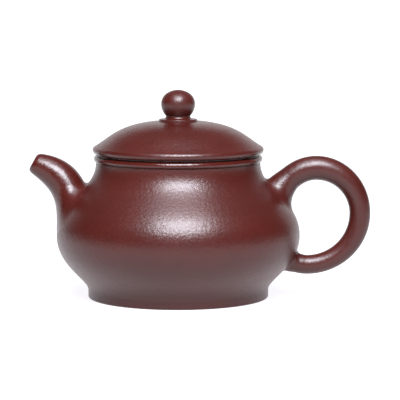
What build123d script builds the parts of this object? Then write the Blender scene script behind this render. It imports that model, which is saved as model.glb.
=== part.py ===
from build123d import *
import math
import os

# Yixing clay teapot with a pressed-down lid, in millimetres.
# The origin is on the pot's turning axis, on the plane that the foot stands on.
# +Z is up, the spout points along -X and the handle along +X.

# body: outer profile from the foot to the neck
FOOT_R = 35.2
FOOT_H = 3.0
FOOT_W = 3.8
FOOT_EDGE = 0.6
BELLY_R = 47.45
BELLY_H = 24.3
BELLY_ROUND = 16.6
BELLY_ROUND_DOWN = 27.0
BELLY_ROUND_UP = 28.0
FOOT_COVE = 3.4
FLANK_PULL = 7.6
SHOULDER_PULL = 9.8
NECK_PULL = 9.0
NECK_R = 32.0
NECK_H = 52.9
# shares of the rise from the belly's widest line to the neck's top: the two seams, and the roots
SEAM_LOW_SHARE = 0.34
SEAM_HIGH_SHARE = 0.76
SPOUT_ROOT_SHARE = 0.493
HANDLE_ROOT_SHARE = 0.577

# clay thicknesses
BASE_T = 3.2
WALL_T = 2.8

# mouth ring: how far it stands out past the neck, and in past the wall
RING_OUT = 0.85
RING_IN = 0.2
RING_ROUND = 1.3

# lid
LID_SHADOW_GAP = 0.6
LID_OUT = 1.3
LID_ROUND = 1.5
LID_LAND_IN = 1.7
LID_RISE = 13.6
LID_CROWN_PULL = 22.5
LID_SLOPE = 30.5
LID_SLOPE_PULL = 8.0
LID_T = 2.6
FLANGE_T = 2.3
FLANGE_H = 5.0
FLANGE_EDGE = 0.6
FLANGE_FIT = 0.3

# knob and its base disc
KNOB_R = 6.6
KNOB_ABOVE = 5.5
KNOB_SHOULDER = 5.0
KNOB_WAIST_R = 4.75
KNOB_BASE_R = 7.45
KNOB_BASE_T = 0.5
KNOB_BASE_EDGE = 0.3
KNOB_BASE_NECK = 1.3
VENT_R = 0.9

# spout: centre line from the wall to the lip, its radii and its pouring channel;
# the lip's centre is given past the belly and below the neck's top
SPOUT_REACH = 9.05
SPOUT_TIP_DROP = 0.1
SPOUT_TIP_R = 3.85
SPOUT_LOW_R = 6.7
SPOUT_TAPER = 4.3
SPOUT_LIP_TILT = 29.0
SPOUT_LIP_RUN = 14.0
SPOUT_LIP_ANGLE = 22.0
SPOUT_RISE_RUN = 5.2
SPOUT_RISE_ANGLE = 60.0
SPOUT_ROOT_TILT = 37.7
SPOUT_ROOT_HIGH = 9.2
SPOUT_ROOT_WIDE = 8.6
SPOUT_WALL = 1.6
SPOUT_LIP_EDGE = 1.1
# shares of the centre line where the round sections of its loft stand
SPOUT_STATIONS = (0.25, 0.5, 0.75, 0.9)

# strainer: a pierced clay dome inside the wall, behind the spout
STRAINER_T = 1.5
STRAINER_LAP = 0.6
STRAINER_HOLE_R = 0.9
STRAINER_RINGS = ((1, 0), (6, 34), (12, 66))

# handle: a round ring of two quarter turns between its reaches, thicker at the top;
# places on its centre line are given past the belly, below the neck's top and from the
# belly's widest line
HANDLE_REACH = 23.45
HANDLE_SIDE_RISE = 8.4
HANDLE_HIGH_OUT = 6.35
HANDLE_HIGH_DROP = 2.4
HANDLE_LOW_OUT = 2.85
HANDLE_LOW_DROP = 11.75
HANDLE_LOW_ROOT_DROP = 10.3
HANDLE_TOP_ROOT_ANGLE = 54.0
HANDLE_TOP_ROOT_RUN = 4.2
HANDLE_TOP_RUN = 7.9
HANDLE_LOW_ROOT_ANGLE = -18.0
HANDLE_TOP_ROOT_R = 6.1
HANDLE_TOP_R = 4.7
HANDLE_SIDE_R = 4.07
HANDLE_LOW_R = 3.7
HANDLE_LOW_ROOT_R = 4.3
# shares of the top reach between which the handle is already even
HANDLE_EVEN = (0.4, 0.7)

# how far the spout and the handle are carried into the wall before they are trimmed to it
ROOT_DEPTH = 5.0
# half width of the cutting blocks, well outside the pot
BEYOND = 200.0
# how many thicknesses long the cylinders are that bore through a wall
BORE_REACH = 4
# shares of each body curve at which the wall's inner side is set out
WALL_STATIONS = (0.0, 0.25, 0.5, 0.75, 1.0)
# pull that bends a cubic curve into a round quarter turn of radius 1
QUARTER_PULL = 4 / 3 * (math.sqrt(2) - 1)
# times the range is halved when the body's outside is looked up at a height
HALVINGS = 40

# radii and places that follow from the sizes above
RING_R = NECK_R + RING_OUT
RING_BORE_R = NECK_R - WALL_T - RING_IN
LID_R = NECK_R + LID_OUT
LID_LAND_R = NECK_R - LID_LAND_IN
SPOUT_TIP_X = -(BELLY_R + SPOUT_REACH)
SPOUT_TIP_Z = NECK_H - SPOUT_TIP_DROP
HANDLE_SIDE_X = BELLY_R + HANDLE_REACH
HANDLE_SIDE_H = BELLY_H + HANDLE_SIDE_RISE
HANDLE_HIGH_X = BELLY_R + HANDLE_HIGH_OUT
HANDLE_HIGH_H = NECK_H - HANDLE_HIGH_DROP
HANDLE_LOW_X = BELLY_R + HANDLE_LOW_OUT
HANDLE_LOW_H = BELLY_H - HANDLE_LOW_DROP
HANDLE_LOW_ROOT_H = BELLY_H - HANDLE_LOW_ROOT_DROP

# heights that follow from the sizes above
SHOULDER_RISE = NECK_H - BELLY_H
SHOULDER_LOW = BELLY_H + SEAM_LOW_SHARE * SHOULDER_RISE
SHOULDER_TOP = BELLY_H + SEAM_HIGH_SHARE * SHOULDER_RISE
SPOUT_ROOT_H = BELLY_H + SPOUT_ROOT_SHARE * SHOULDER_RISE
HANDLE_TOP_ROOT_H = BELLY_H + HANDLE_ROOT_SHARE * SHOULDER_RISE
BASE_TOP = FOOT_H + BASE_T
RIM_H = NECK_H + 2 * RING_ROUND
LID_EDGE_H = RIM_H + LID_SHADOW_GAP + LID_ROUND
LID_TOP_H = RIM_H + LID_RISE
KNOB_BASE_H = LID_TOP_H + KNOB_BASE_T
KNOB_FOOT_H = KNOB_BASE_H + KNOB_BASE_NECK
KNOB_H = KNOB_FOOT_H + math.sqrt(KNOB_R**2 - KNOB_WAIST_R**2)


def at(radius, height):
    """A place in the XZ plane, where every outline is drawn."""
    return Vector(radius, 0, height)


def way(angle):
    """Unit direction in the XZ plane, in degrees from +X towards +Z."""
    return Vector(math.cos(math.radians(angle)), 0, math.sin(math.radians(angle)))


def turned(edges):
    """The solid turned about Z from a closed outline in the XZ plane."""
    return revolve(Face(Wire(edges)), Axis.Z)


def outline(*places):
    """Straight edges from place to place, and back to the first."""
    return [Line(a, b) for a, b in zip(places, places[1:] + places[:1])]


def slab(low, high):
    """Everything between two heights."""
    return Pos(0, 0, (low + high) / 2) * Box(BEYOND, BEYOND, high - low)


def body_profile():
    """The three tangent curves of the pot's outside: flank, belly and shoulder."""
    centre = at(BELLY_R - BELLY_ROUND, BELLY_H)
    low = centre + way(-BELLY_ROUND_DOWN) * BELLY_ROUND
    high = centre + way(BELLY_ROUND_UP) * BELLY_ROUND
    foot = at(FOOT_R, FOOT_H)
    neck = at(NECK_R, NECK_H)
    flank_end = low - way(90 - BELLY_ROUND_DOWN) * FLANK_PULL
    shoulder_start = high + way(90 + BELLY_ROUND_UP) * SHOULDER_PULL
    return [
        Bezier(foot, foot + way(90) * FOOT_COVE, flank_end, low),
        ThreePointArc(low, at(BELLY_R, BELLY_H), high),
        Bezier(high, shoulder_start, neck - way(90) * NECK_PULL, neck),
    ]


def profile_point(height):
    """The point of the pot's outside at a height."""
    for curve in body_profile():
        if (curve @ 0).Z <= height <= (curve @ 1).Z:
            low, high = 0.0, 1.0
            for _ in range(HALVINGS):
                middle = (low + high) / 2
                if (curve @ middle).Z < height:
                    low = middle
                else:
                    high = middle
            return curve @ low
    raise ValueError(f"the pot's outside doesn't reach the height {height}")


def filled_body():
    """The pot's outside as one full solid, from the base slab to the neck's top."""
    closing = [
        Line(at(NECK_R, NECK_H), at(0, NECK_H)),
        Line(at(0, NECK_H), at(0, FOOT_H)),
        Line(at(0, FOOT_H), at(FOOT_R, FOOT_H)),
    ]
    return turned(body_profile() + closing)


def chamber():
    """The tea space: the pot's outside moved in by the wall, above the base slab."""
    inside = []
    for curve in body_profile():
        points = []
        for share in WALL_STATIONS:
            along = curve % share
            points.append(curve @ share + Vector(-along.Z, 0, along.X) * WALL_T)
        inside.append(Spline(*points, tangents=[curve % 0, curve % 1]))
    closing = [
        Line(at(NECK_R - WALL_T, NECK_H), at(0, NECK_H)),
        Line(at(0, NECK_H), at(0, FOOT_H)),
        Line(at(0, FOOT_H), at(FOOT_R - WALL_T, FOOT_H)),
    ]
    return turned(inside + closing) & slab(BASE_TOP, NECK_H)


def foot_ring():
    inner = FOOT_R - FOOT_W
    ring = turned(outline(at(inner, 0), at(FOOT_R, 0), at(FOOT_R, FOOT_H), at(inner, FOOT_H)))
    edges = ring.edges().filter_by(GeomType.CIRCLE).group_by(Axis.Z)[0]
    return fillet(edges, FOOT_EDGE)


def mouth_ring():
    """A half-round bead on the neck, with the flat rim that the lid lies on."""
    edge = RING_R - RING_ROUND
    middle = (NECK_H + RIM_H) / 2
    return turned(
        [
            Line(at(RING_BORE_R, NECK_H), at(edge, NECK_H)),
            ThreePointArc(at(edge, NECK_H), at(RING_R, middle), at(edge, RIM_H)),
            Line(at(edge, RIM_H), at(RING_BORE_R, RIM_H)),
            Line(at(RING_BORE_R, RIM_H), at(RING_BORE_R, NECK_H)),
        ]
    )


def lid_curve(thickness):
    """The dome's curve from the axis to the edge, moved in by a thickness."""
    crown = at(0, LID_TOP_H - thickness)
    rim = at(LID_R - LID_ROUND, LID_EDGE_H) + way(90 - LID_SLOPE) * (LID_ROUND - thickness)
    slope = way(180 - LID_SLOPE) * LID_SLOPE_PULL
    return Bezier(crown, crown + way(0) * LID_CROWN_PULL, rim + slope, rim)


def under_dome(thickness):
    """Everything under the dome's curve, down to the rim that the lid lies on."""
    curve = lid_curve(thickness)
    side, middle = at((curve @ 1).X, RIM_H), at(0, RIM_H)
    return turned([curve, Line(curve @ 1, side), Line(side, middle), Line(middle, curve @ 0)])


def lid_dome(vent):
    """The domed plate, down to the widest line of the lid's rounded edge."""
    outer = lid_curve(0)
    centre, edge = at(LID_R - LID_ROUND, LID_EDGE_H), at(LID_R, LID_EDGE_H)
    half = centre + way((90 - LID_SLOPE) / 2) * LID_ROUND
    middle = at(0, LID_EDGE_H)
    arc = ThreePointArc(outer @ 1, half, edge)
    cap = turned([outer, arc, Line(edge, middle), Line(middle, outer @ 0)])
    return cap - under_dome(LID_T) - vent


def lid_seat_ring():
    """The flat ring that lies on the mouth, with the lower half of the lid's rounded edge."""
    bore = RING_BORE_R - FLANGE_FIT - FLANGE_T
    under = RIM_H + LID_SHADOW_GAP
    centre, edge = at(LID_R - LID_ROUND, LID_EDGE_H), at(LID_R, LID_EDGE_H)
    turn = at(LID_R - LID_ROUND, under)
    return turned(
        [
            Line(at(bore, LID_EDGE_H), edge),
            ThreePointArc(edge, centre + way(-45) * LID_ROUND, turn),
            Line(turn, at(LID_LAND_R, under)),
            Line(at(LID_LAND_R, under), at(LID_LAND_R, RIM_H)),
            Line(at(LID_LAND_R, RIM_H), at(bore, RIM_H)),
            Line(at(bore, RIM_H), at(bore, LID_EDGE_H)),
        ]
    )


def lid_flange():
    """The collar that drops into the mouth and keeps the lid in its place."""
    outer = RING_BORE_R - FLANGE_FIT
    inner = outer - FLANGE_T
    low = RIM_H - FLANGE_H
    ring = turned(outline(at(inner, low), at(outer, low), at(outer, RIM_H), at(inner, RIM_H)))
    lower = ring.edges().filter_by(GeomType.CIRCLE).group_by(Axis.Z)[0]
    return fillet(lower, FLANGE_EDGE)


def knob_base(vent):
    """A small disc on the dome's crown, drawn up to the knob in a hollow curve."""
    waist = at(KNOB_WAIST_R, KNOB_FOOT_H)
    flat = at(KNOB_BASE_R - KNOB_BASE_EDGE, KNOB_BASE_H)
    centre = flat - way(90) * KNOB_BASE_EDGE
    side = centre + way(0) * KNOB_BASE_EDGE
    sunk = LID_TOP_H - LID_T / 2
    disc = turned(
        [
            Line(at(0, KNOB_FOOT_H), waist),
            Bezier(waist, at(KNOB_WAIST_R, KNOB_BASE_H), at(KNOB_WAIST_R, KNOB_BASE_H), flat),
            ThreePointArc(flat, centre + way(45) * KNOB_BASE_EDGE, side),
            Line(side, at(KNOB_BASE_R, sunk)),
            Line(at(KNOB_BASE_R, sunk), at(0, sunk)),
            Line(at(0, sunk), at(0, KNOB_FOOT_H)),
        ]
    )
    return disc - under_dome(0) - vent


def knob(vent):
    """A ball with a flattened crown: two tangent arcs above its widest circle, one below."""
    top = at(0, KNOB_H + KNOB_ABOVE)
    side = at(KNOB_R - KNOB_SHOULDER, KNOB_H)
    widest = at(KNOB_R, KNOB_H)
    waist = at(KNOB_WAIST_R, KNOB_FOOT_H)
    rise = KNOB_ABOVE - KNOB_SHOULDER
    crown = KNOB_SHOULDER + (side.X**2 + rise**2) / (2 * rise)
    middle = top - way(90) * crown
    lean = math.degrees(math.atan2(side.Z - middle.Z, side.X))
    meet = middle + way(lean) * crown
    drop = math.degrees(math.acos(KNOB_WAIST_R / KNOB_R))
    lower_half = at(0, KNOB_H) + way(-drop / 2) * KNOB_R
    ball = turned(
        [
            ThreePointArc(top, middle + way((90 + lean) / 2) * crown, meet),
            ThreePointArc(meet, side + way(lean / 2) * KNOB_SHOULDER, widest),
            ThreePointArc(widest, lower_half, waist),
            Line(waist, at(0, KNOB_FOOT_H)),
            Line(at(0, KNOB_FOOT_H), top),
        ]
    )
    return ball - vent


def spout_line():
    """The spout's centre line, from the wall to the lip."""
    root = profile_point(SPOUT_ROOT_H)
    start, tip = at(-root.X, root.Z), at(SPOUT_TIP_X, SPOUT_TIP_Z)
    rise = way(180 - SPOUT_RISE_ANGLE) * SPOUT_RISE_RUN
    settle = way(-SPOUT_LIP_ANGLE) * SPOUT_LIP_RUN
    return Bezier(start, start + rise, tip + settle, tip)


def across(place, direction):
    """The plane square to a direction in the XZ plane, with Y as its first axis."""
    return Plane(origin=place, x_dir=(0, 1, 0), z_dir=direction)


def spout_bulk(inset, tip_run):
    """The spout's full outer form, or its channel when the radii are inset by the wall."""
    line = spout_line()
    root_way, lip_way = way(180 - SPOUT_ROOT_TILT), way(180 - SPOUT_LIP_TILT)
    root = Ellipse(SPOUT_ROOT_WIDE - inset, SPOUT_ROOT_HIGH - inset)
    sections = [across(line @ 0 - root_way * ROOT_DEPTH, root_way) * root]
    sections.append(across(line @ 0, root_way) * root)
    for share in SPOUT_STATIONS:
        radius = SPOUT_LOW_R - (SPOUT_LOW_R - SPOUT_TIP_R) * share**SPOUT_TAPER
        sections.append(across(line @ share, line % share) * Circle(radius - inset))
    sections.append(across(line @ 1 + lip_way * tip_run, lip_way) * Circle(SPOUT_TIP_R - inset))
    return loft(sections)


def channel_bore():
    """The round hole that the tea takes through the wall into the spout."""
    place = across(spout_line() @ 0, way(180 - SPOUT_ROOT_TILT))
    return place * Cylinder(SPOUT_LOW_R - SPOUT_WALL, BORE_REACH * WALL_T)


def spout(body):
    outside = spout_bulk(0, 0)
    lip = outside.faces().sort_by(Axis.X)[0].edges()
    outside = fillet(lip, SPOUT_LIP_EDGE)
    return outside - spout_bulk(SPOUT_WALL, SPOUT_WALL) - body


def strainer(inside):
    """A pierced dome over the channel's bore, its rim resting on the wall's inner face."""
    root_way = way(180 - SPOUT_ROOT_TILT)
    place = across(spout_line() @ 0 - root_way * WALL_T, root_way)
    inner = SPOUT_LOW_R - SPOUT_WALL + STRAINER_LAP
    dome = Sphere(inner + STRAINER_T) - Sphere(inner)
    hole = Pos(0, 0, -inner) * Cylinder(STRAINER_HOLE_R, BORE_REACH * STRAINER_T)
    for count, lean in STRAINER_RINGS:
        for number in range(count):
            dome -= Rot(0, 0, 360 * number / count) * Rot(0, lean, 0) * hole
    return place * dome & inside


def handle_line():
    """The handle's centre line: the top reach, two quarter turns and the lower reach."""
    top, low = profile_point(HANDLE_TOP_ROOT_H), profile_point(HANDLE_LOW_ROOT_H)
    high, side = at(HANDLE_HIGH_X, HANDLE_HIGH_H), at(HANDLE_SIDE_X, HANDLE_SIDE_H)
    under = at(HANDLE_LOW_X, HANDLE_LOW_H)
    leave = way(HANDLE_TOP_ROOT_ANGLE) * HANDLE_TOP_ROOT_RUN
    outward = way(0) * (side.X - high.X) * QUARTER_PULL
    upward = way(90) * (high.Z - side.Z) * QUARTER_PULL
    downward = way(-90) * (side.Z - under.Z) * QUARTER_PULL
    inward = way(0) * (side.X - under.X) * QUARTER_PULL
    third = (under.X - low.X) / 3
    landing = way(HANDLE_LOW_ROOT_ANGLE) * third
    return [
        Bezier(top, top + leave, high - way(0) * HANDLE_TOP_RUN, high),
        Bezier(high, high + outward, side + upward, side),
        Bezier(side, side + downward, under + inward, under),
        Bezier(under, under - way(0) * third, low + landing, low),
    ]


def handle(body):
    top, outer, lower, foot = handle_line()
    stations = [
        (top, 0.0, HANDLE_TOP_ROOT_R),
        (top, HANDLE_EVEN[0], HANDLE_TOP_R),
        (top, HANDLE_EVEN[1], HANDLE_TOP_R),
        (outer, 0.0, HANDLE_TOP_R),
        (outer, 0.5, (HANDLE_TOP_R + HANDLE_SIDE_R) / 2),
        (lower, 0.0, HANDLE_SIDE_R),
        (lower, 0.5, (HANDLE_SIDE_R + HANDLE_LOW_R) / 2),
        (foot, 0.0, HANDLE_LOW_R),
        (foot, 0.5, HANDLE_LOW_R),
        (foot, 1.0, HANDLE_LOW_ROOT_R),
    ]
    sections = [across(top @ 0 - top % 0 * ROOT_DEPTH, top % 0) * Circle(HANDLE_TOP_ROOT_R)]
    for curve, share, radius in stations:
        sections.append(across(curve @ share, curve % share) * Circle(radius))
    sections.append(across(foot @ 1 + foot % 1 * ROOT_DEPTH, foot % 1) * Circle(HANDLE_LOW_ROOT_R))
    return loft(sections) - body


def main():
    os.makedirs("parts", exist_ok=True)
    body = filled_body()
    inside = chamber()
    shell = body - inside - channel_bore()
    vent = Cylinder(VENT_R, BEYOND)
    pieces = {
        "foot_ring": foot_ring(),
        "base_slab": shell & slab(FOOT_H, BASE_TOP),
        "belly_wall": shell & slab(BASE_TOP, SHOULDER_LOW),
        "shoulder_slab": shell & slab(SHOULDER_LOW, SHOULDER_TOP),
        "neck_collar": shell & slab(SHOULDER_TOP, NECK_H),
        "mouth_ring": mouth_ring(),
        "spout": spout(body),
        "strainer": strainer(inside),
        "handle": handle(body),
        "lid_dome": lid_dome(vent),
        "lid_seat_ring": lid_seat_ring(),
        "lid_flange": lid_flange(),
        "knob_base": knob_base(vent),
        "knob": knob(vent),
    }
    for name, piece in pieces.items():
        export_step(piece, f"parts/{name}.step")
        print(name, len(piece.solids()), round(piece.volume, 1))


main()
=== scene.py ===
import math

import bmesh
import bpy
import numpy as np
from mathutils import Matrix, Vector


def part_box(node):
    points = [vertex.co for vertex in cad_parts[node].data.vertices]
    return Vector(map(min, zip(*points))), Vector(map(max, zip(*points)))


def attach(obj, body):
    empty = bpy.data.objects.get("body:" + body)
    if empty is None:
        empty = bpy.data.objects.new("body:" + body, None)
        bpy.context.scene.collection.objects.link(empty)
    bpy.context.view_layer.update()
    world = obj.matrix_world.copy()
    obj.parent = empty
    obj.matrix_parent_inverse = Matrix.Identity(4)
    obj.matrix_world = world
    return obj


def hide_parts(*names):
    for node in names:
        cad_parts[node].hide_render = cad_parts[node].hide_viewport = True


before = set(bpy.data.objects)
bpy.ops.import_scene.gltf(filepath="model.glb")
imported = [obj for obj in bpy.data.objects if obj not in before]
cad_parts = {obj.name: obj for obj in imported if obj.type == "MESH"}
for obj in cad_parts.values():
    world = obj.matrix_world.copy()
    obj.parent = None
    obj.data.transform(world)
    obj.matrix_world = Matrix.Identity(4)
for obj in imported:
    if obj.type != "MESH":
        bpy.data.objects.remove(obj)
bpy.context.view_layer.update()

# A Yixing clay teapot. Shapes are worked out in millimetres about the pot's turning axis, which is Z:
# the spout points along -X and the handle along +X. Meshes are made in metres, in the frame's own axes.
MM = 0.001


def top(node):
    """Height of a node's top, in millimetres."""
    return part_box(node)[1].z / MM


def girth(node):
    """Widest radius of a turned node, in millimetres."""
    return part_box(node)[1].x / MM


# ---------------------------------------------------------------- sizes, in millimetres and degrees
FOOT_R = girth("foot_ring")
FOOT_H = top("foot_ring")
FOOT_W = 3.8
FOOT_EDGE = 0.6
BASE_TOP = top("base_slab")
BELLY_R = girth("belly_wall")
BELLY_H = 24.3
BELLY_ROUND = 16.6
BELLY_ROUND_DOWN = 27.0
BELLY_ROUND_UP = 28.0
FOOT_COVE = 3.4
FLANK_PULL = 7.6
SHOULDER_PULL = 9.8
NECK_PULL = 9.0
SHOULDER_LOW = top("belly_wall")
SHOULDER_TOP = top("shoulder_slab")
NECK_R = 32.0
NECK_H = top("neck_collar")
WALL_T = 2.8

RING_R = girth("mouth_ring")
RING_ROUND = (top("mouth_ring") - NECK_H) / 2
RING_BORE_R = 29.0
RING_EDGE = 0.35
RIM_H = top("mouth_ring")

LID_R = girth("lid_dome")
LID_ROUND = 1.5
LID_EDGE_H = top("lid_seat_ring")
LID_TOP_H = top("lid_dome")
LID_CROWN_PULL = 22.5
LID_SLOPE = 30.5
LID_SLOPE_PULL = 8.0
LID_T = 2.6
LID_LAND_R = 30.3
LID_GAP = LID_EDGE_H - LID_ROUND - RIM_H
FLANGE_FIT = 0.3
FLANGE_T = 2.3
FLANGE_H = 5.0
FLANGE_EDGE = 0.6
FLANGE_CLEAR = 0.01

KNOB_TOP = top("knob")
KNOB_R = girth("knob")
KNOB_WAIST_R = 4.75
KNOB_FOOT_H = top("knob_base")
KNOB_ABOVE = KNOB_TOP - KNOB_FOOT_H - math.sqrt(KNOB_R**2 - KNOB_WAIST_R**2)
KNOB_H = KNOB_TOP - KNOB_ABOVE
KNOB_SHOULDER = 5.0
KNOB_BASE_R = girth("knob_base")
KNOB_BASE_T = 0.5
KNOB_BASE_EDGE = 0.3
KNOB_COVE = 0.6
KNOB_COVE_RISE = 0.25
VENT_R = 0.9

SPOUT_TIP = (-56.5, 52.8)
SPOUT_TIP_R = 3.85
SPOUT_LOW_R = 6.7
SPOUT_TAPER = 4.3
SPOUT_LIP_TILT = 29.0
SPOUT_LIP_RUN = 14.0
SPOUT_LIP_ANGLE = 22.0
SPOUT_RISE_RUN = 5.2
SPOUT_RISE_ANGLE = 60.0
SPOUT_ROOT_H = 38.4
SPOUT_ROOT_TILT = 37.7
SPOUT_WALL = 1.6
SPOUT_LIP_EDGE = 1.1
SPOUT_LIP_INNER = 0.4
SPOUT_FLARE = 3.0
SPOUT_FLARE_EASE = 1.6
# how far along the spout its rings start to turn to the lip, and how far its line runs inside the pot
SPOUT_LIP_SHARE = 0.7
SPOUT_INWARD = 18.0

HANDLE_SIDE = (70.9, 32.7)
HANDLE_HIGH = (53.8, 50.5)
HANDLE_UNDER = (50.3, 12.55)
HANDLE_TOP_ROOT_H = 40.8
HANDLE_TOP_ROOT_ANGLE = 54.0
HANDLE_TOP_ROOT_RUN = 4.2
HANDLE_TOP_RUN = 7.9
HANDLE_LOW_ROOT_H = 14.0
HANDLE_LOW_ROOT_ANGLE = -18.0
HANDLE_RADII = (6.1, 4.7, 4.7, 4.07, 3.7, 3.8, 4.3)
HANDLE_INWARD = 9.0

# how far the luted joints are smoothed out over the wall: above, beside and below each root
SPOUT_ROOT_SOFT = (2.4, 8.0, 10.5)
HANDLE_TOP_SOFT = (2.0, 4.4, 4.6)
HANDLE_LOW_SOFT = (1.7, 2.0, 2.0)
# how full the slip's curve is, and how deep its edge lies under the skin
SLIP_PULL = 0.62
SLIP_SUNK = 0.012

# a cubic curve's pull for a quarter of a circle
QUARTER = 4 / 3 * (math.sqrt(2) - 1)

# how many points go round the pot and round a limb, and along the limbs' stretches
AROUND_POT = 192
AROUND_LIMB = 96
SPOUT_IN_ROWS = 60
SPOUT_ROWS = 90
SPOUT_ROOT_ROWS = 52
HANDLE_IN_ROWS = 46
HANDLE_ROOT_ROWS = 26
HANDLE_LOW_ROWS = 8
AROUND_BORE = 64
# points nearer to each other than this are one point where a bore is cut
MEETING = 0.01


# ---------------------------------------------------------------- outlines of turned pieces
# A run is a stretch of an outline: rows of radius, height and the heading there. An outline goes
# anticlockwise, so that the clay is on its left.
def spot(radius, height):
    """A place on an outline."""
    return np.array((radius, height), float)


def way(angle):
    """A unit way at an angle in degrees, up from level."""
    return np.array((math.cos(math.radians(angle)), math.sin(math.radians(angle))))


def bezier(a, b, c, d, count=28):
    """A run along a cubic curve."""
    t = np.linspace(0, 1, count)[:, None]
    a, b, c, d = (np.array(p, float) for p in (a, b, c, d))
    s = 1 - t
    place = s**3 * a + 3 * s * s * t * b + 3 * s * t * t * c + t**3 * d
    head = s * s * (b - a) + 2 * s * t * (c - b) + t * t * (d - c)
    return np.hstack([place, head / np.linalg.norm(head, axis=1, keepdims=True)])


def arc(centre, radius, start, end, count=9):
    """A run along a circle, from one angle to another."""
    angle = np.radians(np.linspace(start, end, count))[:, None]
    out = np.hstack([np.cos(angle), np.sin(angle)])
    turn = 1 if end > start else -1
    return np.hstack([centre + radius * out, turn * np.hstack([-out[:, 1:], out[:, :1]])])


def straight(a, b, count=2):
    """A straight run."""
    a, b = np.array(a, float), np.array(b, float)
    share = np.linspace(0, 1, count)[:, None]
    head = np.repeat([(b - a) / np.linalg.norm(b - a)], count, 0)
    return np.hstack([a + (b - a) * share, head])


def normals(run):
    """Unit ways straight out of the clay along a run."""
    return np.stack([run[:, 3], -run[:, 2]], 1)


def moved_in(run, depth):
    """A run's inner side: the same stretch moved into the clay and followed backwards."""
    place = run[:, :2] - normals(run) * depth
    return np.hstack([place, -run[:, 2:]])[::-1]


def span(run, low, high):
    """The part of a rising run between two heights."""
    inside = (run[:, 1] > low + 0.05) & (run[:, 1] < high - 0.05)
    ends = [[np.interp(h, run[:, 1], run[:, k]) for k in range(4)] for h in (low, high)]
    return np.vstack([ends[:1], run[inside], ends[1:]])


def joined(*runs):
    """Tangent runs as one."""
    return np.vstack([runs[0]] + [r[1:] for r in runs[1:]])


def closed(*runs):
    """A closed outline: straight runs fill the gaps between the given ones."""
    outline = []
    for run, after in zip(runs, runs[1:] + runs[:1]):
        outline.append(run)
        if np.linalg.norm(after[0, :2] - run[-1, :2]) > 1e-6:
            outline.append(straight(run[-1, :2], after[0, :2]))
    return outline


def pot_outside():
    """The pot's whole outer curve from foot to neck: flank, belly and shoulder."""
    centre = spot(BELLY_R - BELLY_ROUND, BELLY_H)
    low = centre + way(-BELLY_ROUND_DOWN) * BELLY_ROUND
    high = centre + way(BELLY_ROUND_UP) * BELLY_ROUND
    foot, neck = spot(FOOT_R, FOOT_H), spot(NECK_R, NECK_H)
    flank = bezier(
        foot, foot + way(90) * FOOT_COVE, low - way(90 - BELLY_ROUND_DOWN) * FLANK_PULL, low, 34
    )
    belly = arc(centre, BELLY_ROUND, -BELLY_ROUND_DOWN, BELLY_ROUND_UP, 37)
    shoulder = bezier(
        high, high + way(90 + BELLY_ROUND_UP) * SHOULDER_PULL, neck - way(90) * NECK_PULL, neck, 48
    )
    return joined(flank, belly, shoulder)


OUTSIDE = pot_outside()


def wall(low, high):
    """Outline of the pot's wall between two heights."""
    inner = moved_in(OUTSIDE, WALL_T)[::-1]
    inner = inner * (1, 1, -1, -1)
    inner = span(inner, low, high) * (1, 1, -1, -1)
    return closed(span(OUTSIDE, low, high), inner[::-1])


# ---------------------------------------------------------------- meshes
def mesh_from(name, sheets, body, slot, *nodes):
    """A closed piece from sheets of places and normals, rows by columns.

    Each sheet closes round its columns.
    """
    places, ways, faces = [], [], []
    start = 0
    for grid, out in sheets:
        rows, columns = grid.shape[:2]
        number = start + np.arange(rows * columns).reshape(rows, columns)
        nextone = np.roll(number, -1, 1)
        faces.append(np.stack([number[:-1], nextone[:-1], nextone[1:], number[1:]], -1).reshape(-1, 4))
        places.append(grid.reshape(-1, 3))
        ways.append(out.reshape(-1, 3))
        start += rows * columns
    places, ways, faces = np.vstack(places), np.vstack(ways), np.vstack(faces)
    _, first, merged = np.unique(np.round(places, 5), axis=0, return_index=True, return_inverse=True)
    merged = merged.reshape(-1)
    a, b, c, d = (places[faces[:, k]] for k in range(4))
    turned_in = (np.cross(c - a, d - b) * ways[faces].sum(1)).sum(1) < 0
    faces[turned_in] = faces[turned_in][:, ::-1]
    kept = merged[faces] != np.roll(merged[faces], 1, 1)
    faces, kept = faces[kept.sum(1) > 2], kept[kept.sum(1) > 2]
    polygons = [merged[face[keep]].tolist() for face, keep in zip(faces, kept)]
    corners = ways[faces[kept]]
    mesh = bpy.data.meshes.new(name)
    mesh.from_pydata((places[first] * MM).tolist(), [], polygons)
    mesh.polygons.foreach_set("use_smooth", [True] * len(polygons))
    mesh.normals_split_custom_set(corners.tolist())
    mesh.update()
    piece = bpy.data.objects.new(name, mesh)
    bpy.context.scene.collection.objects.link(piece)
    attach(piece, body)
    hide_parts(*nodes)
    return piece


def turned(name, outline, body, slot, *nodes):
    """A piece turned about the pot's axis from its closed outline."""
    angle = np.linspace(0, 2 * math.pi, AROUND_POT, endpoint=False)
    cos, sin = np.cos(angle), np.sin(angle)
    sheets = []
    for run in outline:
        out = normals(run)
        grid = np.stack([run[:, :1] * cos, run[:, :1] * sin, run[:, 1:2] + 0 * cos], -1)
        ways = np.stack([out[:, :1] * cos, out[:, :1] * sin, out[:, 1:] + 0 * cos], -1)
        sheets.append((grid, ways))
    return mesh_from(name, sheets, body, slot, *nodes)


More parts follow.
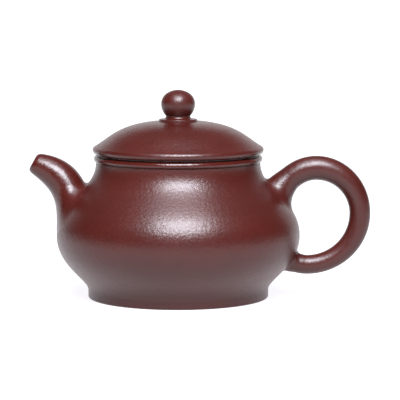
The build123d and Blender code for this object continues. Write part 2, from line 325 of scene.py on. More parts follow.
def true_normals(mesh, outline):
    """After a piece is bored: each corner takes the outline's own normal, or its flat one in the bore."""
    runs = np.vstack([np.hstack([run[:, :2], normals(run)]) for run in outline])
    corner, face = np.zeros(len(mesh.loops), int), np.zeros(len(mesh.loops), int)
    mesh.loops.foreach_get("vertex_index", corner)
    for polygon in mesh.polygons:
        face[polygon.loop_start : polygon.loop_start + polygon.loop_total] = polygon.index
    place = np.zeros(len(mesh.vertices) * 3)
    mesh.vertices.foreach_get("co", place)
    place = place.reshape(-1, 3)[corner] / MM
    flat = np.zeros(len(mesh.polygons) * 3)
    mesh.polygons.foreach_get("normal", flat)
    flat = flat.reshape(-1, 3)[face]
    radius = np.hypot(place[:, 0], place[:, 1])
    aside = place[:, :2] / radius[:, None]
    facing = np.stack([(flat[:, :2] * aside).sum(1), flat[:, 2]], 1)
    true = flat.copy()
    for k in range(0, len(place), 8192):
        part = slice(k, k + 8192)
        away = (radius[part, None] - runs[:, 0]) ** 2 + (place[part, 2, None] - runs[:, 1]) ** 2
        match = facing[part] @ runs[:, 2:].T
        best = np.argmin(away + 4 * (1 - match), 1)
        found = runs[best, 2:]
        good = match[np.arange(len(best)), best] > 0.8
        outward = np.hstack([aside[part] * found[:, :1], found[:, 1:]])
        true[part][good] = outward[good]
    mesh.normals_split_custom_set(true.tolist())


def bored(piece, outline, centre, direction, radius, reach):
    """Cuts a round hole through a turned piece, and gives it back its true normals."""
    steps = (np.arange(AROUND_BORE) + 0.5) * 2 * math.pi / AROUND_BORE
    direction = Vector(direction).normalized()
    side = direction.cross(Vector((0, 1, 0))).normalized()
    ring = [side * math.cos(a) + Vector((0, 1, 0)) * math.sin(a) for a in steps]
    ends = [[Vector(centre) + direction * z + r * radius for r in ring] for z in (-reach, reach)]
    count = len(steps)
    cutter = bpy.data.meshes.new("bore")
    sides = [(k, (k + 1) % count, count + (k + 1) % count, count + k) for k in range(count)]
    lids = [tuple(range(count))[::-1], tuple(range(count, 2 * count))]
    cutter.from_pydata([v * MM for v in ends[0] + ends[1]], [], sides + lids)
    tool = bpy.data.objects.new("bore", cutter)
    bpy.context.scene.collection.objects.link(tool)
    cut = piece.modifiers.new("bore", "BOOLEAN")
    cut.operation, cut.solver, cut.object = "DIFFERENCE", "EXACT", tool
    evaluated = piece.evaluated_get(bpy.context.evaluated_depsgraph_get())
    mesh = bpy.data.meshes.new_from_object(evaluated)
    piece.modifiers.clear()
    mesh.name = piece.name
    piece.data = mesh
    clean = bmesh.new()
    clean.from_mesh(mesh)
    bmesh.ops.remove_doubles(clean, verts=clean.verts, dist=MEETING * MM)
    bmesh.ops.dissolve_degenerate(clean, edges=clean.edges, dist=MEETING * MM)
    wide = [face for face in clean.faces if len(face.verts) > 4]
    bmesh.ops.triangulate(clean, faces=wide, ngon_method="BEAUTY")
    bmesh.ops.dissolve_degenerate(clean, edges=clean.edges, dist=MEETING * MM)
    clean.to_mesh(mesh)
    clean.free()
    mesh.polygons.foreach_set("use_smooth", [True] * len(mesh.polygons))
    true_normals(mesh, outline)
    bpy.data.objects.remove(tool)


# ---------------------------------------------------------------- spout and handle
def under_skin(points):
    """Height of points over the pot's outside, and the skin's normal below each."""
    rho, h = np.hypot(points[..., 0], points[..., 1]), points[..., 2].copy()
    heights = OUTSIDE[:, 1]
    out = normals(OUTSIDE)
    for _ in range(14):
        r, nr, nz = (np.interp(h, heights, v) for v in (OUTSIDE[:, 0], out[:, 0], out[:, 1]))
        slip = (points[..., 2] - h) * nr - (rho - r) * nz
        h = np.clip(h + 0.7 * slip * nr, heights[0], heights[-1])
    above = (rho - r) * nr + (points[..., 2] - h) * nz
    aside = points[..., :2] / np.maximum(rho, 1e-9)[..., None]
    return above, np.concatenate([aside * nr[..., None], nz[..., None]], -1)


def unit(vectors):
    """Vectors at length one."""
    return vectors / np.maximum(np.linalg.norm(vectors, axis=-1, keepdims=True), 1e-12)


def tube(run, tilt, radii, flare=0.0):
    """Rings round a run in the XZ plane, wider by the flare across it.

    Tilt is each ring's facing in degrees.
    """
    count = len(run)
    angle = np.linspace(0, 2 * math.pi, AROUND_LIMB, endpoint=False)
    centre = np.stack([run[:, 0], np.zeros(count), run[:, 1]], 1)
    facing = np.radians(tilt)
    up = np.stack([-np.sin(facing), np.zeros(count), np.cos(facing)], 1)
    across = np.array((0.0, 1.0, 0.0))
    upward = np.cos(angle)[None, :, None] * up[:, None] * radii[:, None, None]
    aside = np.sin(angle)[None, :, None] * across * (radii + flare)[:, None, None]
    return centre[:, None] + upward + aside, centre


def soft_sizes(above, beside, below):
    """The size of a luted fillet round a root, from its three sizes, for each column."""
    angle = np.linspace(0, 2 * math.pi, AROUND_LIMB, endpoint=False)
    swing = (above + below) / 4 - beside / 2
    return beside + swing + (above - below) / 2 * np.cos(angle) + swing * np.cos(2 * angle)


def along(rails, lengths, wanted):
    """Points at wanted lengths along each rail: rails by columns, wanted rows by columns."""
    rows, columns = wanted.shape
    found = np.zeros((rows, columns, 3))
    for c in range(columns):
        for k in range(3):
            found[:, c, k] = np.interp(wanted[:, c], lengths[:, c], rails[:, c, k])
    return found


def luted(rails, centres, soft, reach, fillet_rows=14, clear_rows=14):
    """Turns the inner ends of a limb's rails into a fillet that lands flush on the pot.

    Rails run outwards from inside the wall. Gives the rows from the landing line out to rail row
    `reach`, and the pot's normals along the landing line.
    """
    above, _ = under_skin(rails)
    step = np.linalg.norm(np.diff(rails, axis=0), axis=-1)
    lengths = np.vstack([np.zeros(rails.shape[1]), np.cumsum(step, 0)])
    columns = np.arange(rails.shape[1])
    last = np.array([np.nonzero(above[:reach, c] < 0)[0].max() for c in columns])
    share = above[last, columns] / (above[last, columns] - above[last + 1, columns])
    meet = lengths[last, columns] + share * (lengths[last + 1, columns] - lengths[last, columns])
    here = along(rails, lengths, meet[None])[0]
    leave = along(rails, lengths, (meet + soft)[None])[0]
    beyond = along(rails, lengths, (meet + soft + 0.2)[None])[0]
    outward = unit(beyond - leave)
    _, skin = under_skin(here)
    spread = here - centres[last]
    spread = unit(spread - (spread * skin).sum(-1, keepdims=True) * skin)
    land = here + spread * soft[:, None]
    over, skin = under_skin(land)
    land = land - skin * (over + SLIP_SUNK)[:, None]
    spread = unit(spread - (spread * skin).sum(-1, keepdims=True) * skin)
    pull = SLIP_PULL * soft[:, None]
    t = np.linspace(0, 1, fillet_rows)[:, None, None]
    fillet = (
        (1 - t) ** 3 * land
        + 3 * (1 - t) ** 2 * t * (land - spread * pull)
        + 3 * (1 - t) * t * t * (leave - outward * pull)
        + t**3 * leave
    )
    ends = lengths[reach]
    share = np.linspace(0, 1, clear_rows)[1:, None]
    clear = along(rails, lengths, (meet + soft) * (1 - share) + ends * share)
    return np.concatenate([fillet, clear]), skin


def sheet_normals(grid, centres_out):
    """Normals of a sheet from its neighbouring places, facing the given ways."""
    rows = np.zeros_like(grid)
    step = np.maximum(np.linalg.norm(np.diff(grid, axis=0), axis=-1, keepdims=True), 1e-6)
    slope = np.diff(grid, axis=0) / step
    rows[1:-1] = (slope[:-1] * step[1:] + slope[1:] * step[:-1]) / (step[1:] + step[:-1])
    rows[0], rows[-1] = slope[0], slope[-1]
    columns = np.roll(grid, -1, 1) - np.roll(grid, 1, 1)
    out = unit(np.cross(rows, columns))
    sign = np.sign((out * centres_out).sum(-1).mean())
    return out * sign


def wall_rows(land, depth, shares, middle):
    """Rows that close a root inside the wall, from its landing line towards its middle."""
    rows = []
    for share in shares:
        row = land * (1 - share) + middle * share
        over, out = under_skin(row)
        rows.append(row - out * (over + depth)[:, None])
    return np.stack(rows)


def on_skin(height):
    """The place on the pot's outline at a height."""
    return spot(np.interp(height, OUTSIDE[:, 1], OUTSIDE[:, 0]), height)


def spout_run():
    """The spout's centre line: its stretch inside the pot, and the line from the wall to the lip."""
    root = on_skin(SPOUT_ROOT_H) * (-1, 1)
    tip = spot(*SPOUT_TIP)
    rise, settle = way(180 - SPOUT_RISE_ANGLE), way(-SPOUT_LIP_ANGLE)
    line = bezier(
        root, root + rise * SPOUT_RISE_RUN, tip + settle * SPOUT_LIP_RUN, tip, SPOUT_ROWS
    )
    inward = straight(root - rise * SPOUT_INWARD, root, SPOUT_IN_ROWS)
    return inward, line


def spout_tube(inset):
    """Rails of the spout's outside, or of its channel when inset by the wall."""
    inward, line = spout_run()
    whole = joined(inward, line)
    share = np.concatenate([np.zeros(len(inward) - 1), np.linspace(0, 1, len(line))])
    heading = np.degrees(np.arctan2(whole[:, 3], whole[:, 2]))
    turn = np.clip((share - SPOUT_LIP_SHARE) / (1 - SPOUT_LIP_SHARE), 0, 1)
    turn = turn * turn * (3 - 2 * turn)
    tilt = heading * (1 - turn) + (180 - SPOUT_LIP_TILT) * turn
    radii = SPOUT_LOW_R - (SPOUT_LOW_R - SPOUT_TIP_R) * share**SPOUT_TAPER - inset
    flare = SPOUT_FLARE * (1 - share) ** SPOUT_FLARE_EASE if inset == 0 else 0
    rails, centres = tube(whole, tilt - 180, radii, flare)
    return rails, centres, whole, tilt


def spout_lip(start, ahead, centre, out, facing):
    """Rows round the lip: from the spout's outside over its rounded edge and into the channel."""
    edge, inner = SPOUT_LIP_EDGE, SPOUT_LIP_INNER
    crest = centre + out * (SPOUT_TIP_R - edge)
    fore, aft = start + ahead * edge * 1.05, crest + out * edge * 0.6
    rows = []
    for t in np.linspace(0, 1, 13)[1:]:
        s = 1 - t
        rows.append(s**3 * start + 3 * s * s * t * fore + 3 * s * t * t * aft + t**3 * crest)
    for angle in np.radians(np.linspace(90, 180, 7)):
        reach = SPOUT_TIP_R - SPOUT_WALL + inner + inner * math.cos(angle)
        rows.append(centre + out * reach + facing * (inner * math.sin(angle) - inner))
    return np.stack(rows)


def make_spout():
    """The spout: outside, lip, channel and the hidden root in one closed skin."""
    rails, centres, whole, tilt = spout_tube(0)
    reach = SPOUT_IN_ROWS + SPOUT_ROOT_ROWS
    root, skin = luted(rails, centres, soft_sizes(*SPOUT_ROOT_SOFT), reach, 22, 16)
    end = math.radians(tilt[-1])
    facing = np.array((math.cos(end), 0, math.sin(end)))
    back = np.linalg.norm(whole[:, :2] - whole[-1, :2], axis=1)
    clear = back > SPOUT_LIP_EDGE * 1.6
    keep = [k for k in range(reach + 1, len(whole)) if clear[k] and k % 2 == 0]
    last = keep[-1]
    lip = spout_lip(
        rails[last], unit(rails[last + 1] - rails[last]), centres[-1], unit(rails[-1] - centres[-1]), facing
    )
    bore = spout_tube(SPOUT_WALL)[0]
    above, _ = under_skin(bore)
    open_rows = (back > 1.5) & (above > -0.2).all(1)
    inside = [k for k in range(len(whole)) if open_rows[k] and k % 3 == 0][::-1]
    sunk = [np.nonzero(above[: inside[-1] + 1, c] < -1.0)[0].max() for c in range(AROUND_LIMB)]
    foot = bore[sunk, np.arange(AROUND_LIMB)]
    outside = np.concatenate([root, rails[keep], lip])
    shell = np.concatenate([outside, bore[inside], foot[None]])
    away = shell - shell.mean(1, keepdims=True)
    away[len(outside) :] *= -1
    ways = sheet_normals(shell, away)
    ways[0] = skin
    hidden = wall_rows(shell[0], 0.6, (0.05,), shell[0].mean(0))
    under = np.concatenate([shell[:1], hidden, foot[None]])
    under_ways = -np.repeat(skin[None], len(under), 0)
    return mesh_from("spout_clay", [(shell, ways), (under, under_ways)], "pot", "spout_clay", "spout")


def handle_runs():
    """The handle's centre line: top reach, two quarter turns and lower reach, with both ends inside."""
    high, side, under = spot(*HANDLE_HIGH), spot(*HANDLE_SIDE), spot(*HANDLE_UNDER)
    top_root, low_root = on_skin(HANDLE_TOP_ROOT_H), on_skin(HANDLE_LOW_ROOT_H)
    leave, landing = way(HANDLE_TOP_ROOT_ANGLE), way(HANDLE_LOW_ROOT_ANGLE)
    level, rise = way(0), way(90)
    third = (under[0] - low_root[0]) / 3
    across_top, across_low = (side[0] - high[0]) * QUARTER, (side[0] - under[0]) * QUARTER
    down_top, down_low = (high[1] - side[1]) * QUARTER, (side[1] - under[1]) * QUARTER
    return [
        straight(top_root - leave * HANDLE_INWARD, top_root, HANDLE_IN_ROWS),
        bezier(
            top_root, top_root + leave * HANDLE_TOP_ROOT_RUN, high - level * HANDLE_TOP_RUN, high, 50
        ),
        bezier(high, high + level * across_top, side + rise * down_top, side, 60),
        bezier(side, side - rise * down_low, under + level * across_low, under, 60),
        bezier(under, under - level * third, low_root + landing * third, low_root, 40),
        straight(low_root, low_root - landing * HANDLE_INWARD, HANDLE_IN_ROWS),
    ]


def make_handle():
    """The handle: one round limb, thickest at its top root, luted to the pot at both ends."""
    runs = handle_runs()
    whole = joined(*runs)
    step = np.linalg.norm(np.diff(whole[:, :2], axis=0), axis=1)
    length = np.concatenate([[0], np.cumsum(step)])
    counts = np.cumsum([len(r) - 1 for r in runs])
    root, high, side, under, low = length[counts[:5]]
    top_middle, low_middle = root + 0.45 * (high - root), under + 0.5 * (low - under)
    stations = np.array([root, top_middle, high, side, under, low_middle, low])
    place = np.clip(length, root, low)
    k = np.clip(np.searchsorted(stations, place, "right") - 1, 0, len(stations) - 2)
    share = (place - stations[k]) / (stations[k + 1] - stations[k])
    ease = share * share * (3 - 2 * share)
    sizes = np.array(HANDLE_RADII)
    radii = sizes[k] * (1 - ease) + sizes[k + 1] * ease
    heading = np.degrees(np.unwrap(np.arctan2(whole[:, 3], whole[:, 2])))
    rails, centres = tube(whole, heading, radii)
    reach = counts[0] + HANDLE_ROOT_ROWS
    first, first_skin = luted(rails, centres, soft_sizes(*HANDLE_TOP_SOFT), reach, 16, 14)
    far_reach = len(whole) - 1 - counts[3] - HANDLE_LOW_ROWS
    far_soft = soft_sizes(*HANDLE_LOW_SOFT)
    far, far_skin = luted(rails[::-1], centres[::-1], far_soft, far_reach, 12, 12)
    middle = rails[reach + 1 : len(whole) - 1 - far_reach : 2]
    shell = np.concatenate([first, middle, far[::-1]])
    ways = sheet_normals(shell, shell - shell.mean(1, keepdims=True))
    ways[0], ways[-1] = first_skin, far_skin
    sheets = [(shell, ways)]
    for row, skin in ((shell[0], first_skin), (shell[-1], far_skin)):
        cap = wall_rows(row, 0.7, (0.05, 0.35, 0.7, 0.999), row.mean(0))
        cap[-1] = cap[-1].mean(0)
        cap = np.concatenate([row[None], cap])
        sheets.append((cap, -np.repeat(skin[None], len(cap), 0)))
    return mesh_from("handle_clay", sheets, "pot", "handle_clay", "handle")


# ---------------------------------------------------------------- pot
def make_pot():
    """The pot's turned pieces, from the foot ring up to the bead round the mouth."""
    inner = FOOT_R - FOOT_W
    foot = closed(
        straight((inner + FOOT_EDGE, 0), (FOOT_R - FOOT_EDGE, 0)),
        arc(spot(FOOT_R - FOOT_EDGE, FOOT_EDGE), FOOT_EDGE, -90, 0),
        straight((FOOT_R, FOOT_EDGE), (FOOT_R, FOOT_H), 4),
        straight((inner, FOOT_H), (inner, FOOT_EDGE)),
        arc(spot(inner + FOOT_EDGE, FOOT_EDGE), FOOT_EDGE, 180, 270),
    )
    turned("foot_ring_clay", foot, "pot", "pot_clay", "foot_ring")
    base = closed(
        straight((0, FOOT_H), (FOOT_R, FOOT_H), 8),
        span(OUTSIDE, FOOT_H, BASE_TOP),
        straight(on_skin(BASE_TOP), (0, BASE_TOP), 8),
    )
    turned("base_slab_clay", base[:-1], "pot", "pot_clay", "base_slab")
    root = on_skin(SPOUT_ROOT_H) * (-1, 1)
    facing = way(180 - SPOUT_ROOT_TILT)
    for name, low, high in (
        ("belly_wall", BASE_TOP, SHOULDER_LOW),
        ("shoulder_slab", SHOULDER_LOW, SHOULDER_TOP),
        ("neck_collar", SHOULDER_TOP, NECK_H),
    ):
        outline = wall(low, high)
        piece = turned(name + "_clay", outline, "pot", "pot_clay", name)
        if name != "neck_collar":
            centre, direction = (root[0], 0, root[1]), (facing[0], 0, facing[1])
            bored(piece, outline, centre, direction, SPOUT_LOW_R - SPOUT_WALL, 2 * WALL_T)
    edge, middle, soft = RING_R - RING_ROUND, (NECK_H + RIM_H) / 2, RING_EDGE
    ring = closed(
        straight((RING_BORE_R, NECK_H), (edge, NECK_H)),
        arc(spot(edge, middle), RING_ROUND, -90, 90, 21),
        straight((edge, RIM_H), (RING_BORE_R + soft, RIM_H)),
        arc(spot(RING_BORE_R + soft, RIM_H - soft), soft, 90, 180),
    )
    turned("mouth_ring_clay", ring, "pot", "pot_clay", "mouth_ring")


# ---------------------------------------------------------------- lid
def dome_run(depth):
    """The dome's curve from its edge up to the axis, moved in by a depth."""
    crown = spot(0, LID_TOP_H - depth)
    rim = spot(LID_R - LID_ROUND, LID_EDGE_H) + way(90 - LID_SLOPE) * (LID_ROUND - depth)
    slope = way(180 - LID_SLOPE) * LID_SLOPE_PULL
    return bezier(rim, rim + slope, crown + way(0) * LID_CROWN_PULL, crown, 56)


def cut_at(run, radius):
    """A run towards the axis, stopped at a radius."""
    kept = run[run[:, 0] > radius + 0.05]
    rising = run[::-1]
    end = [[np.interp(radius, rising[:, 0], rising[:, k]) for k in range(4)]]
    return np.vstack([kept, end])


def make_lid():
    """The lid's dome, the ring that seats it on the mouth, and the flange that drops into the mouth."""
    edge_centre = spot(LID_R - LID_ROUND, LID_EDGE_H)
    outer = cut_at(dome_run(0), VENT_R)
    inner = cut_at(dome_run(LID_T), VENT_R)
    inner = inner[inner[:, 1] > LID_EDGE_H]
    under = inner[::-1] * (1, 1, -1, -1)
    dome = closed(
        joined(arc(edge_centre, LID_ROUND, 0, 90 - LID_SLOPE, 13), outer),
        straight(outer[-1, :2], inner[-1, :2], 3),
        under,
        straight(under[-1, :2], (under[-1, 0], LID_EDGE_H)),
    )
    turned("lid_dome_clay", dome, "lid", "lid_clay", "lid_dome")
    bore = RING_BORE_R - FLANGE_FIT - FLANGE_T
    low = RIM_H + LID_GAP
    seat = closed(
        straight((bore, RIM_H), (LID_LAND_R, RIM_H)),
        straight((LID_LAND_R, RIM_H), (LID_LAND_R, low)),
        straight((LID_LAND_R, low), (LID_R - LID_ROUND, low)),
        arc(edge_centre, LID_ROUND, -90, 0, 15),
        straight((LID_R, LID_EDGE_H), (bore, LID_EDGE_H)),
    )
    turned("lid_seat_ring_clay", seat, "lid", "lid_clay", "lid_seat_ring")
    outside, soft = RING_BORE_R - FLANGE_FIT, FLANGE_EDGE
    foot, joint = RIM_H - FLANGE_H, RIM_H - FLANGE_CLEAR
    flange = closed(
        straight((bore + soft, foot), (outside - soft, foot)),
        arc(spot(outside - soft, foot + soft), soft, -90, 0),
        straight((outside, foot + soft), (outside, joint), 4),
        straight((bore, joint), (bore, foot + soft), 4),
        arc(spot(bore + soft, foot + soft), soft, 180, 270),
    )
    turned("lid_flange_clay", flange, "lid_collar", "bare_clay", "lid_flange")


def make_knob():
    """The ball knob and the small disc it is luted to, with the vent down through both."""
    base_top = LID_TOP_H + KNOB_BASE_T
    flat = spot(KNOB_BASE_R - KNOB_BASE_EDGE, base_top)
    waist = spot(KNOB_WAIST_R, KNOB_FOOT_H)
    hollow = spot(KNOB_WAIST_R, base_top)
    sunk = LID_TOP_H - LID_T / 2
    base = closed(
        straight((VENT_R, sunk), (KNOB_BASE_R, sunk)),
        straight((KNOB_BASE_R, sunk), (KNOB_BASE_R, base_top - KNOB_BASE_EDGE)),
        arc(flat - (0, KNOB_BASE_EDGE), KNOB_BASE_EDGE, 0, 90),
        bezier(flat, hollow + (KNOB_COVE, 0), hollow + (0, KNOB_COVE_RISE), waist, 16),
        straight(waist, (VENT_R, KNOB_FOOT_H)),
    )
    turned("knob_base_clay", base, "lid", "lid_clay", "knob_base")
    crown_top = spot(0, KNOB_TOP)
    side = spot(KNOB_R - KNOB_SHOULDER, KNOB_H)
    rise = KNOB_ABOVE - KNOB_SHOULDER
    crown = KNOB_SHOULDER + (side[0] ** 2 + rise**2) / (2 * rise)
    middle = crown_top - (0, crown)
    lean = math.degrees(math.atan2(side[1] - middle[1], side[0]))
    drop = math.degrees(math.acos(KNOB_WAIST_R / KNOB_R))
    over = joined(
        arc(spot(0, KNOB_H), KNOB_R, -drop, 0, 22),
        arc(side, KNOB_SHOULDER, 0, lean, 30),
        arc(middle, crown, lean, 90, 14),
    )
    over = cut_at(over, VENT_R)
    knob = closed(over, straight(over[-1, :2], (VENT_R, KNOB_FOOT_H)))
    turned("knob_clay", knob, "lid", "knob_clay", "knob")


# ---------------------------------------------------------------- shader maths
class Value:
    """A number that varies over a surface. Arithmetic on it adds the Math nodes that work it out."""

    def __init__(self, tree, socket):
        self.tree, self.socket = tree, socket

    def math(self, operation, left, right):
        node = self.tree.nodes.new("ShaderNodeMath")
        node.operation = operation
        for place, value in enumerate((left, right)):
            if isinstance(value, Value):
                self.tree.links.new(value.socket, node.inputs[place])
            else:
                node.inputs[place].default_value = value
        return Value(self.tree, node.outputs[0])

    def __add__(self, other):
        return self.math("ADD", self, other)

    def __radd__(self, other):
        return self.math("ADD", other, self)

    def __sub__(self, other):
        return self.math("SUBTRACT", self, other)

    def __rsub__(self, other):
        return self.math("SUBTRACT", other, self)

    def __mul__(self, other):
        return self.math("MULTIPLY", self, other)

    def __rmul__(self, other):
        return self.math("MULTIPLY", other, self)


class Tree:
    """A node tree under way, and a method that adds any node to it."""

    def __init__(self, tree):
        self.tree = tree

    def feed(self, socket, value):
        """Sets a socket, or links a varying value to it."""
        if isinstance(value, Value):
            self.tree.links.new(value.socket, socket)
        else:
            socket.default_value = value

    def add(self, kind, settings=None, inputs=None, output=0):
        """A node of any type: its settings first, then the values or links of its sockets."""
        node = self.tree.nodes.new(kind)
        for name, value in (settings or {}).items():
            setattr(node, name, value)
        for name, value in (inputs or {}).items():
            self.feed(node.inputs[name], value)
        return Value(self.tree, node.outputs[output])

    def between(self, value, low, high):
        """0 below low, 1 above high, and an even rise in the middle."""
        inputs = {"Value": value, "From Min": low, "From Max": high}
        return self.add("ShaderNodeMapRange", {"interpolation_type": "SMOOTHSTEP"}, inputs)


class Finish(Tree):
    """A material under way: its tree and its one shader."""

    def __init__(self, name):
        self.material = bpy.data.materials.new(name)
        self.material.use_nodes = True
        super().__init__(self.material.node_tree)
        self.tree.nodes.clear()
        self.shader = self.tree.nodes.new("ShaderNodeBsdfPrincipled")
        output = self.tree.nodes.new("ShaderNodeOutputMaterial")
        self.tree.links.new(self.shader.outputs["BSDF"], output.inputs["Surface"])

    def set(self, **inputs):
        """Sets or links the shader's own sockets."""
        for name, value in inputs.items():
            self.feed(self.shader.inputs[name.replace("_", " ")], value)

    def place(self):
        """Where a point of the clay is, in metres."""
        return self.add("ShaderNodeTexCoord", output="Object")

    def stretched(self, place, factors):
        """Places scaled by a factor along each axis."""
        inputs = {0: place, 1: factors}
        return self.add("ShaderNodeVectorMath", {"operation": "MULTIPLY"}, inputs)

    def noise(self, place, scale, detail=2.0, rough=0.5):
        """Soft random mottling, from 0 to 1."""
        inputs = {"Vector": place, "Scale": scale, "Detail": detail, "Roughness": rough}
        return self.add("ShaderNodeTexNoise", None, inputs)

    def cells(self, place, scale, randomness=1.0):
        """Distance to the nearest of scattered grains."""
        inputs = {"Vector": place, "Scale": scale, "Randomness": randomness}
        return self.add("ShaderNodeTexVoronoi", {"feature": "F1"}, inputs, "Distance")

    def mixed(self, share, first, second):
        """The first colour, with a share of the second."""
        inputs = {0: share, 6: first, 7: second}
        return self.add("ShaderNodeMix", {"data_type": "RGBA"}, inputs, 2)


# colours of the fired clay, as linear light
CLAY = (0.0455, 0.0054, 0.0036, 1)
CLAY_WARM = (0.0535, 0.0069, 0.0046, 1)
CLAY_DARK = (0.0375, 0.0046, 0.0032, 1)
GRAIN_PALE = (0.098, 0.031, 0.021, 1)
GRAIN_DARK = (0.029, 0.0050, 0.0040, 1)
# how deep the skin's relief is, in metres
SKIN_RELIEF = 0.00016
# how much rougher clay is where it is left unburnished
BARE_ROUGHNESS = 0.25
# half the floor's width, in metres
FLOOR_HALF = 9.0
# the studio, as linear light
FLOOR_COLOUR = (0.25, 0.25, 0.25, 1)
FLOOR_NEAR_GLOW = (0.90, 0.885, 0.92, 1)
FLOOR_FAR_GLOW = (1.20, 1.20, 1.20, 1)
# how far from the pot the floor's glow rises from near to far, in metres
FLOOR_GLOW_RISE = (0.15, 1.2)
DIM_FRONT = 0.015
BACK_GLOW = 1.0
BACK_START = 0.45
BACK_FULL = 0.95
BACK_TOP = 0.30
BACK_TOP_END = 0.65
OVERHEAD_GLOW = 0.15
OVERHEAD_START = 0.25
OVERHEAD_FULL = 0.9
STUDIO_COLOUR = (0.98, 0.975, 1.0, 1)
SOFTBOX_COLOUR = (0.885, 0.925, 1.0)
SOFTBOX_AIM = Vector((0, 0, 0.04))
# the camera's place in metres, how far it looks down in degrees, and its lens and sensor in millimetres
CAMERA_PLACE = (0.0085, -0.880, 0.1366)
CAMERA_DOWN = 6.4
CAMERA_LENS = 204.3
CAMERA_SENSOR = 36.0


def clay(name, gloss=0.30, streaks=0.0, bare=0.0):
    """Fired purple clay: sand grain, faint clouding and the sheen of a burnished skin."""
    finish = Finish(name)
    place = finish.place()
    cloud = finish.noise(place, 38, 3.0, 0.55)
    patch = finish.noise(place, 160, 2.0, 0.5)
    grain = finish.noise(place, 2600, 2.0, 0.6)
    skin = finish.noise(place, 860, 2.0, 0.55)
    pale = 1 - finish.between(finish.cells(place, 2400), 0.08, 0.22)
    uneven = finish.stretched(place, (1.0, 1.3, 0.9))
    dark = 1 - finish.between(finish.cells(uneven, 1900), 0.07, 0.20)
    tone = finish.mixed(finish.between(cloud, 0.36, 0.66), CLAY, CLAY_WARM)
    tone = finish.mixed(finish.between(patch, 0.50, 0.74) * 0.35, tone, CLAY_DARK)
    tone = finish.mixed(pale * 0.40, tone, GRAIN_PALE)
    tone = finish.mixed(dark * 0.30, tone, GRAIN_DARK)
    rough = gloss + bare * BARE_ROUGHNESS + (cloud - 0.5) * 0.06
    rough = rough + (skin - 0.5) * 0.16 + (grain - 0.5) * 0.14
    height = skin * 0.85 + grain * 0.22
    if streaks:
        wiped = finish.noise(finish.stretched(place, (14.0, 14.0, 900.0)), 1.0, 3.0, 0.6)
        rough = rough + (wiped - 0.5) * (0.10 * streaks)
        height = height + wiped * (0.30 * streaks)
    relief = {"Strength": 0.7 + 0.3 * bare, "Distance": SKIN_RELIEF, "Height": height}
    bump = finish.add("ShaderNodeBump", None, relief)
    finish.set(Base_Color=tone, Roughness=rough, Normal=bump, IOR=1.5)
    return finish.material


def paint(material, *names):
    """Gives pieces their finish."""
    for name in names:
        mesh = bpy.data.objects[name].data
        mesh.materials.clear()
        mesh.materials.append(material)


make_pot()
make_spout()
make_handle()
make_lid()
make_knob()

paint(
    clay("burnished_pot_clay", 0.34, 0.7),
    "foot_ring_clay", "base_slab_clay", "belly_wall_clay", "shoulder_slab_clay", "neck_collar_clay",
)
paint(clay("burnished_spout_clay", 0.28), "spout_clay")
paint(clay("burnished_handle_clay", 0.35), "handle_clay")
paint(clay("burnished_lid_clay", 0.30, 1.0), "lid_dome_clay", "knob_base_clay")
paint(clay("burnished_edge_clay", 0.19, 0.6), "mouth_ring_clay", "lid_seat_ring_clay")
paint(clay("burnished_knob_clay", 0.36), "knob_clay")
paint(clay("bare_clay", 0.34, 0.0, 1.0), "lid_flange_clay", "strainer")


# ---------------------------------------------------------------- floor, light and camera
def add_floor():
    """A white table that glows a little, so that it stays pale to its far end."""
    size = FLOOR_HALF
    mesh = bpy.data.meshes.new("floor")
    corners = [(-size, -size, 0), (size, -size, 0), (size, size, 0), (-size, size, 0)]
    mesh.from_pydata(corners, [], [(0, 1, 2, 3)])
    floor = bpy.data.objects.new("floor", mesh)
    bpy.context.scene.collection.objects.link(floor)
    finish = Finish("pale_floor")
    away = finish.add("ShaderNodeVectorMath", {"operation": "LENGTH"}, {0: finish.place()}, "Value")
    glow = finish.mixed(finish.between(away, *FLOOR_GLOW_RISE), FLOOR_NEAR_GLOW, FLOOR_FAR_GLOW)
    finish.set(Base_Color=FLOOR_COLOUR, Roughness=0.7, Specular_IOR_Level=0.1)
    finish.set(Emission_Color=glow, Emission_Strength=1.0)
    mesh.materials.append(finish.material)


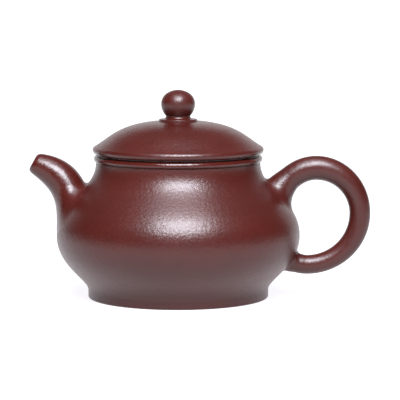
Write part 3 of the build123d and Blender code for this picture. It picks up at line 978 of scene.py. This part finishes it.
def add_world():
    """A studio with a white wall behind the table, dim overhead and dark on the camera's side."""
    world = bpy.data.worlds.new("studio")
    bpy.context.scene.world = world
    world.use_nodes = True
    studio = Tree(world.node_tree)
    way_out = studio.add("ShaderNodeTexCoord", output="Generated")
    away = studio.add("ShaderNodeSeparateXYZ", None, {0: way_out}, "Y")
    height = studio.add("ShaderNodeSeparateXYZ", None, {0: way_out}, "Z")
    under_top = 1 - studio.between(height, BACK_TOP, BACK_TOP_END)
    behind = studio.between(away, BACK_START, BACK_FULL) * under_top
    overhead = studio.between(height, OVERHEAD_START, OVERHEAD_FULL)
    light = DIM_FRONT + behind * (BACK_GLOW - DIM_FRONT) + overhead * OVERHEAD_GLOW
    seen = studio.add("ShaderNodeLightPath", output="Is Camera Ray")
    strength = light + seen * (1.0 - light)
    background = world.node_tree.nodes["Background"]
    studio.feed(background.inputs["Color"], STUDIO_COLOUR)
    studio.feed(background.inputs["Strength"], strength)


def add_light(name, elevation, azimuth, distance, size, height, radiance):
    """A softbox that faces the pot: its radiance, and its place by angles from the pot's middle."""
    light = bpy.data.lights.new(name, "AREA")
    light.shape, light.size, light.size_y = "RECTANGLE", size, height
    light.energy, light.color = radiance * math.pi * size * height, SOFTBOX_COLOUR
    lamp = bpy.data.objects.new(name, light)
    e, a = math.radians(elevation), math.radians(azimuth)
    back = Vector((math.sin(a) * math.cos(e), -math.cos(a) * math.cos(e), math.sin(e)))
    lamp.location = SOFTBOX_AIM + back * distance
    lamp.rotation_mode = "QUATERNION"
    lamp.rotation_quaternion = (-back).to_track_quat("-Z", "Y")
    bpy.context.scene.collection.objects.link(lamp)


def add_camera():
    """A long lens in front of the pot, a little above it and looking down at it."""
    data = bpy.data.cameras.new("camera")
    data.lens, data.sensor_width = CAMERA_LENS, CAMERA_SENSOR
    camera = bpy.data.objects.new("camera", data)
    camera.location = CAMERA_PLACE
    camera.rotation_euler = (math.radians(90 - CAMERA_DOWN), 0, 0)
    bpy.context.scene.collection.objects.link(camera)
    bpy.context.scene.camera = camera


add_floor()
add_world()
add_light("front_softbox", 50, 4, 0.9, 0.56, 0.46, 28.0)
add_light("overhead_softbox", 78, 4, 0.9, 0.60, 0.50, 3.4)
add_camera()
bpy.context.scene.view_settings.view_transform = "Standard"
